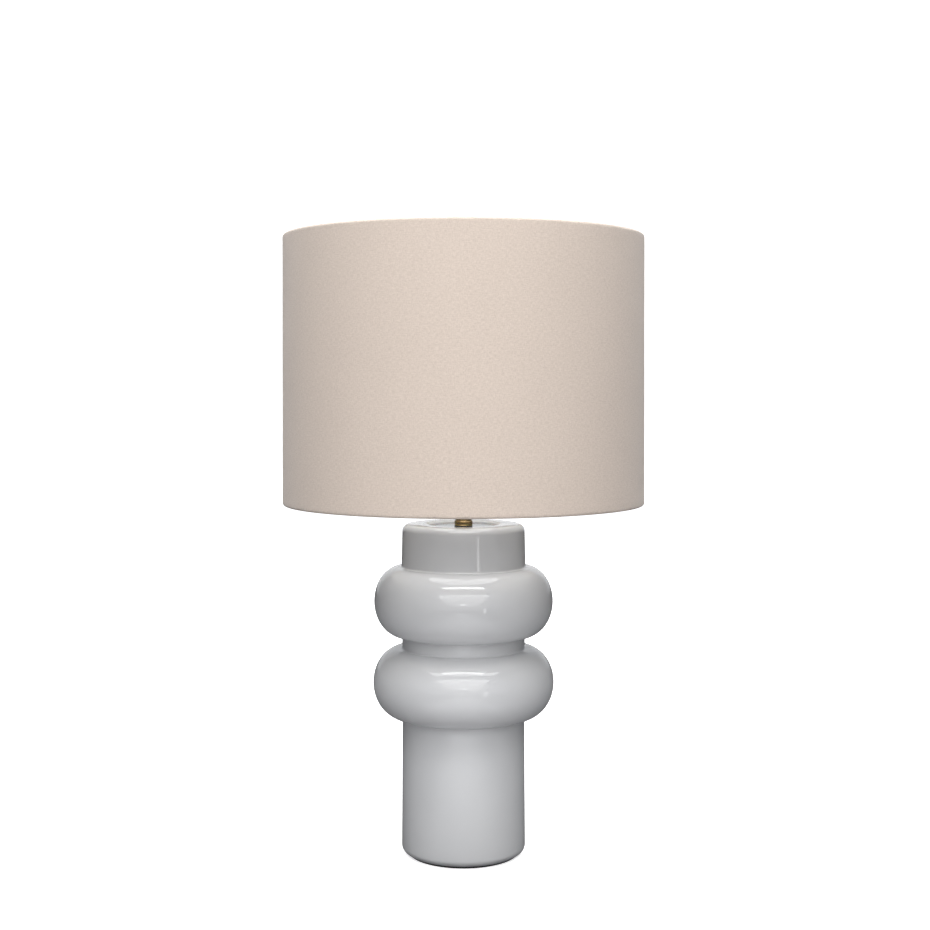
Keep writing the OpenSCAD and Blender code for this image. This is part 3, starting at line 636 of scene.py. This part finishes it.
def ceramic_section():
    """The body's section: up its outside, over the dish in its top, and down its inside."""
    foot = arc(PLINTH_FOOT_R - EDGE_ROUND, FELT_T + EDGE_ROUND, EDGE_ROUND, -90, 0, 12)
    lower = bulge(LOWER_BULGE_Z, LOWER_BULGE_R, BULGE_HALF_H, PLINTH_TOP_R, WAIST_R,
                  GLAZE_FILLET, 30)
    upper = bulge(UPPER_BULGE_Z, UPPER_BULGE_R, BULGE_HALF_H, WAIST_R, NECK_FOOT_R,
                  GLAZE_FILLET, 30)
    shoulder = arc(NECK_TOP_R - EDGE_ROUND, BODY_H - EDGE_ROUND, EDGE_ROUND, 0, 90, 12)
    dish_z = BODY_H - DISH_DEPTH
    lip = [(DISH_R + 3 * MM - 9 * MM * t, BODY_H - DISH_DEPTH * t * t * (3 - 2 * t))
           for t in (i / 10 for i in range(11))]
    hole_r = 5.6 * MM
    inner_r = WAIST_R - WALL
    ceiling = BODY_H - 9 * MM
    inside = (bulge(LOWER_BULGE_Z, LOWER_BULGE_R - WALL, BULGE_HALF_H - WALL, inner_r, inner_r,
                    3 * MM, 8)
              + bulge(UPPER_BULGE_Z, UPPER_BULGE_R - WALL, BULGE_HALF_H - WALL, inner_r, inner_r,
                      3 * MM, 8))
    return (foot + straight(foot[-1], lower[0], 16) + lower[1:]
            + straight(lower[-1], upper[0], 2) + upper[1:]
            + straight(upper[-1], shoulder[0], 5) + shoulder[1:] + lip
            + [(hole_r, dish_z), (hole_r, ceiling), (inner_r, ceiling)]
            + inside[::-1]
            + [(inner_r - 1 * MM, LEDGE_Z + 18 * MM), (LEDGE_R, LEDGE_Z + 8 * MM),
               (LEDGE_R, LEDGE_Z), (RECESS_R, LEDGE_Z), (RECESS_R, FELT_T)])


def hand_made(r, z, angle):
    """The slip-cast wall wavers a little, outside and inside. Its ends don't, nor does what
    lies nearer to the axis."""
    if r < STEADY_R or not FELT_T + 4 * MM < z < BODY_H - 3 * MM:
        return r
    x, y = math.cos(angle), math.sin(angle)
    return r + 0.11 * MM * wander(x, y, z / 0.09, 0.55) + 0.05 * MM * wander(x, y, z / 0.03, 0.3)


def glazed_body():
    body = lathe("glazed_body", ceramic_section(), 288, hand_made, sharp_deg=50)
    # Cord outlet through the back of the plinth
    depth, start = 30 * MM, RECESS_R - 10 * MM
    drill = lathe("drill", [(0, 0), (CORD_HOLE_R, 0), (CORD_HOLE_R, depth), (0, depth)], 48)
    place(drill, (0, start, CORD_HOLE_Z), (0, 1, 0))
    cut = body.modifiers.new("cord_outlet", "BOOLEAN")
    cut.operation, cut.object, cut.solver = "DIFFERENCE", drill, "EXACT"
    bpy.context.view_layer.update()
    shown = body.evaluated_get(bpy.context.evaluated_depsgraph_get())
    mesh = bpy.data.meshes.new_from_object(shown)
    body.modifiers.clear()
    body.data = mesh
    bpy.data.objects.remove(drill)
    return dress(body, "glazed_ceramic", "base", "ceramic_body")


def felt_disc():
    """The pad under the foot, with a slightly furry rim."""
    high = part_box("felt_pad")[1]
    r = high.x

    def fuzz(radius, z, angle):
        if radius < r - 1 * MM:
            return radius
        return radius - 0.12 * MM * (1 + wander(math.cos(angle), math.sin(angle), z / r, 0.02))

    rim = [(r, high.z * t) for t in (0.12, 0.4, 0.65, 0.88)]
    rings = [(r * t, 0) for t in (0, 0.4, 0.75, 0.99)]
    top = [(r * t, high.z) for t in (0.985, 0.75, 0.4, 0)]
    disc = lathe("felt_disc", rings + rim + top, 240, fuzz)
    return dress(disc, "felt", "base", "felt_pad")


# ---- Brass neck ----

def check_ring():
    """A turned ring with a fine cut line above its foot."""
    low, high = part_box("check_ring")
    r, bore, h = high.x, 4.95 * MM, high.z - low.z
    profile = ([(bore, 0), (r - 0.5 * MM, 0)]
               + arc(r - 0.35 * MM, 0.45 * MM, 0.35 * MM, -60, 60, 5)
               + [(r - 0.3 * MM, 1.0 * MM)]
               + arc(r - 1.5 * MM, h - 2.2 * MM, 1.5 * MM, -20, 90, 9, 2.2 * MM)
               + [(r - 2.4 * MM, h), (bore, h)])
    ring = place(lathe("check_ring_turned", profile, 128), (0, 0, low.z))
    return dress(ring, "antique_brass", "base", "check_ring")


def neck_tube():
    """The brass tube with its flared top."""
    low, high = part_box("neck_tube")
    r, bore, h = 8.65 * MM, 4.95 * MM, high.z - low.z
    flare = high.x - r
    profile = ([(bore, 0), (r, 0), (r, h * 0.35), (r, h - 7.4 * MM)]
               + arc(r + flare - 0.3 * MM, h - 7.0 * MM, flare - 0.3 * MM, 180, 100, 8)
               + arc(high.x - 0.6 * MM, h - 1.9 * MM, 0.6 * MM, -70, 0, 4, 1.6 * MM)
               + [(high.x, h - 0.3 * MM), (high.x - 0.3 * MM, h), (bore, h)])
    tube = place(lathe("neck_tube_turned", profile, 128), (0, 0, low.z))
    return dress(tube, "antique_brass", "base", "neck_tube")


# ---- Shade ----

def shade_r(z):
    """The shade tapers evenly."""
    share = (z - SHADE_BOTTOM_Z) / (SHADE_TOP_Z - SHADE_BOTTOM_Z)
    return SHADE_BOTTOM_R + (SHADE_TOP_R - SHADE_BOTTOM_R) * share


def cover_column(angle, notched, lap):
    """One column of the linen cover: along its outer face from the turned-in edge at the bottom
    to the one at the top, and back along its inner face."""
    bottom, top = SHADE_BOTTOM_Z + RING_INSET, SHADE_TOP_Z - RING_INSET
    x, y = math.cos(angle), math.sin(angle)

    def pucker(z):
        """Small waves that the glued turn-in leaves beside both edges."""
        near = math.exp(-min(z - SHADE_BOTTOM_Z, SHADE_TOP_Z - z) / (7 * MM))
        return 0.20 * MM * near * wander(x, y, z / 0.05, 0.045)

    def face(thickness, rows):
        wrap = RING_INSET - thickness
        over = lap if not thickness else 0.0
        centre = shade_r(bottom) - RING_INSET
        turned = [(centre - wrap + 0.2 * MM, bottom + FOLD_IN), (centre - wrap, bottom + 5 * MM),
                  (centre - wrap, bottom + 1.5 * MM)]
        points = turned + arc(centre, bottom, wrap + over, 180, 360, 12)
        for i in range(1, rows):
            z = bottom + (top - bottom) * i / rows
            slack = pucker(z) + 0.12 * MM * wander(x, y, z / 0.2, 0.35) if not thickness else 0
            points.append((shade_r(z) - thickness + over + max(slack, -0.1 * MM), z))
        centre = shade_r(top) - RING_INSET
        if notched:
            return points + arc(centre, top, wrap + over, 0, 118, 15)
        return (points + arc(centre, top, wrap + over, 0, 180, 12)
                + [(centre - wrap, top - 1.5 * MM), (centre - wrap, top - 5 * MM),
                   (centre - wrap + 0.2 * MM, top - FOLD_IN)])

    outer, inner = face(0.0, 112), face(LINEN_T, 3)
    loop = outer + inner[::-1]
    lengths = [0.0]
    for a, b in zip(outer, outer[1:]):
        lengths.append(lengths[-1] + math.dist(a, b))
    inner_lengths = [lengths[-1] * (1 - i / (len(inner) - 1)) for i in range(len(inner))]
    return [(r * x, r * y, z) for r, z in loop], lengths + inner_lengths


def linen_cover():
    """The cloth round the shade, notched over the spider's arms, with its lap seam behind."""
    notch = 2.0 * MM / SHADE_TOP_R
    edge = 0.1 * MM / SHADE_TOP_R
    lap_end = SEAM_AT + SEAM_LAP / SHADE_TOP_R
    angles = {round(TURN * i / SHADE_COLUMNS, 6): (False, 0.0) for i in range(SHADE_COLUMNS)}
    for arm in ARM_ANGLES:
        angles = {a: v for a, v in angles.items() if abs(a - arm) > notch + 2 * edge}
        for offset, cut in ((-notch - edge, False), (-notch, True), (0, True), (notch, True),
                            (notch + edge, False)):
            angles[round(arm + offset, 6)] = (cut, 0.0)
    # The lap seam: its free edge is a sharp step, and its other side rises from under the cloth
    angles = {a: v for a, v in angles.items() if not SEAM_AT - 4 * edge < a < SEAM_AT + 4 * edge}
    angles[round(SEAM_AT - edge, 6)] = (False, 0.0)
    angles[round(SEAM_AT + edge, 6)] = (False, LAP_RISE)
    columns, lengths, widths = [], [], []
    for angle in sorted(angles):
        notched, lap = angles[angle]
        if SEAM_AT < angle < lap_end:
            lap = LAP_RISE * min(1.0, (lap_end - angle) / (0.3 * (lap_end - SEAM_AT)))
        column, length = cover_column(angle, notched, lap)
        columns.append(column)
        lengths.append(length)
        widths.append(angle * SHADE_TOP_R)
    widths.append(TURN * SHADE_TOP_R)
    cover = grid_solid("linen_cover", columns, lengths, widths, sharp_deg=60)
    dress(cover, "linen", "shade", "shade_cover")
    return cover


# ---- The lamp's working parts ----

def helix(depth, pitch, low, high):
    """Gives a turned part a rolled thread between two heights."""
    def shape(r, z, angle):
        if not low < z < high:
            return r
        ease = min(1.0, (z - low) / pitch, (high - z) / pitch)
        return r + ease * depth * math.cos(TURN * z / pitch - angle)
    return shape


def threaded_sheet(name, slot, body, node, mean_r, depth, thickness, pitch):
    """A thin rolled screw shell, as on a socket or a bulb."""
    low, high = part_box(node)
    height = high.z - low.z
    steps, plain_end = 90, 0.2 * MM
    shape = helix(depth, pitch, low.z + plain_end, high.z - plain_end)
    outside = [(mean_r + thickness / 2, low.z + height * i / steps) for i in range(steps + 1)]
    inside = [(mean_r - thickness / 2, z) for _, z in reversed(outside)]
    shell = lathe(name, outside + inside, 96, shape)
    return dress(shell, slot, body, node)


def fluted_knob():
    """The moulded turn knob, with fine flutes and a dished face."""
    low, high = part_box("switch_knob")
    length = high.y - low.y
    r, shaft_r, flutes = 6.4 * MM, 2.0 * MM, 24
    profile = ([(shaft_r, 0), (4.3 * MM, 0), (4.6 * MM, 0.3 * MM), (4.6 * MM, 3.4 * MM)]
               + [(6.0 * MM, 4.2 * MM), (r, 4.8 * MM)]
               + [(r, 4.8 * MM + (length - 6.4 * MM) * i / 8) for i in range(1, 9)]
               + arc(r - 1.6 * MM, length - 1.6 * MM, 1.6 * MM, 10, 90, 7)
               + [(3.2 * MM, length - 0.1 * MM), (2.6 * MM, length - 0.6 * MM),
                  (0, length - 0.8 * MM), (0, length - 3 * MM), (shaft_r, length - 3 * MM)])

    def flute(radius, z, angle):
        if radius < 5.6 * MM or z < 4.7 * MM:
            return radius
        return radius - 0.38 * MM * max(0.0, math.cos(flutes * angle)) ** 0.5

    knob = lathe("knob_fluted", profile, 192, flute)
    place(knob, (0, high.y, (low.z + high.z) / 2), (0, -1, 0))
    return dress(knob, "phenolic", "knob", "switch_knob")


def turned_finial():
    """The finial: a foot, a waist, a ball and a small tip."""
    low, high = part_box("finial")
    h = high.z - low.z
    bore, bore_h = 3.25 * MM, 11 * MM
    profile = ([(bore, 0), (6.6 * MM, 0)] + arc(6.6 * MM, 1.1 * MM, 0.4 * MM, -80, 80, 6, 1.1 * MM)
               + [(6.1 * MM, 2.5 * MM)]
               + arc(6.6 * MM, 5.2 * MM, 2.5 * MM, 250, 130, 10)
               + arc(5.3 * MM, 8.3 * MM, 0.6 * MM, -70, 70, 5)
               + arc(0, 15.9 * MM, 8 * MM, -50, 74, 26)
               + [(2.0 * MM, 24.1 * MM)] + arc(0, h - 1.6 * MM, 1.7 * MM, 10, 90, 8, 1.6 * MM)
               + [(0, bore_h + 1 * MM), (bore, bore_h)])
    finial = place(lathe("finial_turned", profile, 128), (0, 0, low.z))
    return dress(finial, "antique_brass", "finial", "finial")


def threaded_stud():
    """The stud in the harp's eye, with its 1/4-27 thread."""
    low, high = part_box("harp_stud")
    r, pitch = 3.05 * MM, 0.94 * MM
    head_t, eye_h, plate_t = 1.4 * MM, 4.4 * MM, 1.4 * MM
    z1 = low.z + head_t + 0.15 * MM + eye_h
    thread_z = z1 + plate_t
    steps = int((high.z - thread_z) / pitch * 8)
    thread = [(r, thread_z + (high.z - 0.3 * MM - thread_z) * i / steps) for i in range(steps + 1)]
    profile = ([(0, low.z)] + arc(0, low.z + head_t, 5 * MM, -70, 0, 6, head_t)
               + [(3.17 * MM, low.z + head_t), (3.17 * MM, z1), (7.7 * MM, z1)]
               + arc(7.7 * MM, z1 + plate_t / 2, 0.3 * MM, -80, 80, 4, plate_t / 2)
               + thread + [(r - 0.5 * MM, high.z), (0, high.z)])
    stud = lathe("harp_stud_threaded", profile, 72,
                 helix(0.12 * MM, pitch, thread_z, high.z - 0.3 * MM))
    return dress(stud, "antique_brass", "shade", "harp_stud")


def bulb_envelope():
    """The frosted glass, blown thin, with its drawn-in neck."""
    low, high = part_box("bulb_glass")
    ball_r, ball_z = high.x, high.z - high.x
    joint = math.radians(-42)
    start = (ball_r * math.cos(joint), ball_z + ball_r * math.sin(joint))

    def skin(t):
        foot = [(12.4 * MM - t, low.z), (12.7 * MM - t, low.z + 5 * MM)]
        bend = []
        for i in range(1, 12):
            s = i / 12
            bend.append((foot[1][0] + (start[0] - t - foot[1][0]) * (s * s * (1.6 - 0.6 * s)),
                         foot[1][1] + (start[1] - foot[1][1]) * s))
        ball = arc(0, ball_z, ball_r - t, -42, 90, 40)
        return foot + bend + ball[:-1] + [(0, ball_z + ball_r - t)]

    shell = lathe("bulb_envelope", skin(0.0) + skin(0.8 * MM)[::-1], 96, sharp_deg=60)
    return dress(shell, "frosted_glass", "bulb", "bulb_glass")


def tungsten_coil():
    """The coiled filament between its two support wires."""
    low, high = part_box("bulb_filament")
    coil_z = high.z - 0.5 * MM
    half, turns = high.x - 0.6 * MM, 26
    coil = [(-half + 2 * half * i / (turns * 12),
             0.42 * MM * math.cos(TURN * i / 12), coil_z + 0.42 * MM * math.sin(TURN * i / 12))
            for i in range(turns * 12 + 1)]
    filament = sweep("tungsten_coil", coil, 0.09 * MM, 6)
    dress(filament, "filament_wire", "bulb", "bulb_filament")
    for side, name in ((-1, "filament_lead_left"), (1, "filament_lead_right")):
        lead = [(side * 1.2 * MM, 0, low.z + 0.4 * MM), (side * 3 * MM, 0, low.z + 4 * MM),
                (side * 6.2 * MM, 0, coil_z - 1.5 * MM), (side * half, 0, coil_z)]
        dress(sweep(name, lead, 0.25 * MM, 8), "filament_wire", "bulb")


def dress_cad_nodes():
    """Every CAD node that stays visible gets its procedural look."""
    slots = {part["node"]: part["material_slot"] for part in frame["record"]["subparts"]}
    for name, node in frame["nodes"].items():
        for slot in node.material_slots:
            slot.material = LOOKS[slots[name]]


camera()
studio()
floor()
dress_cad_nodes()
glazed_body()
felt_disc()
check_ring()
neck_tube()
cover = linen_cover()
threaded_sheet("socket_screw_shell", "socket_brass", "base", "screw_shell", 13.55 * MM, 0.5 * MM,
               0.4 * MM, 3.63 * MM)
fluted_knob()
turned_finial()
threaded_stud()
bulb_envelope()
tungsten_coil()
pass_the_shade(bpy.data.objects["boom_strip"], cover,
               *(frame["nodes"][name] for name in ("shade_liner", "top_ring", "bottom_ring")))
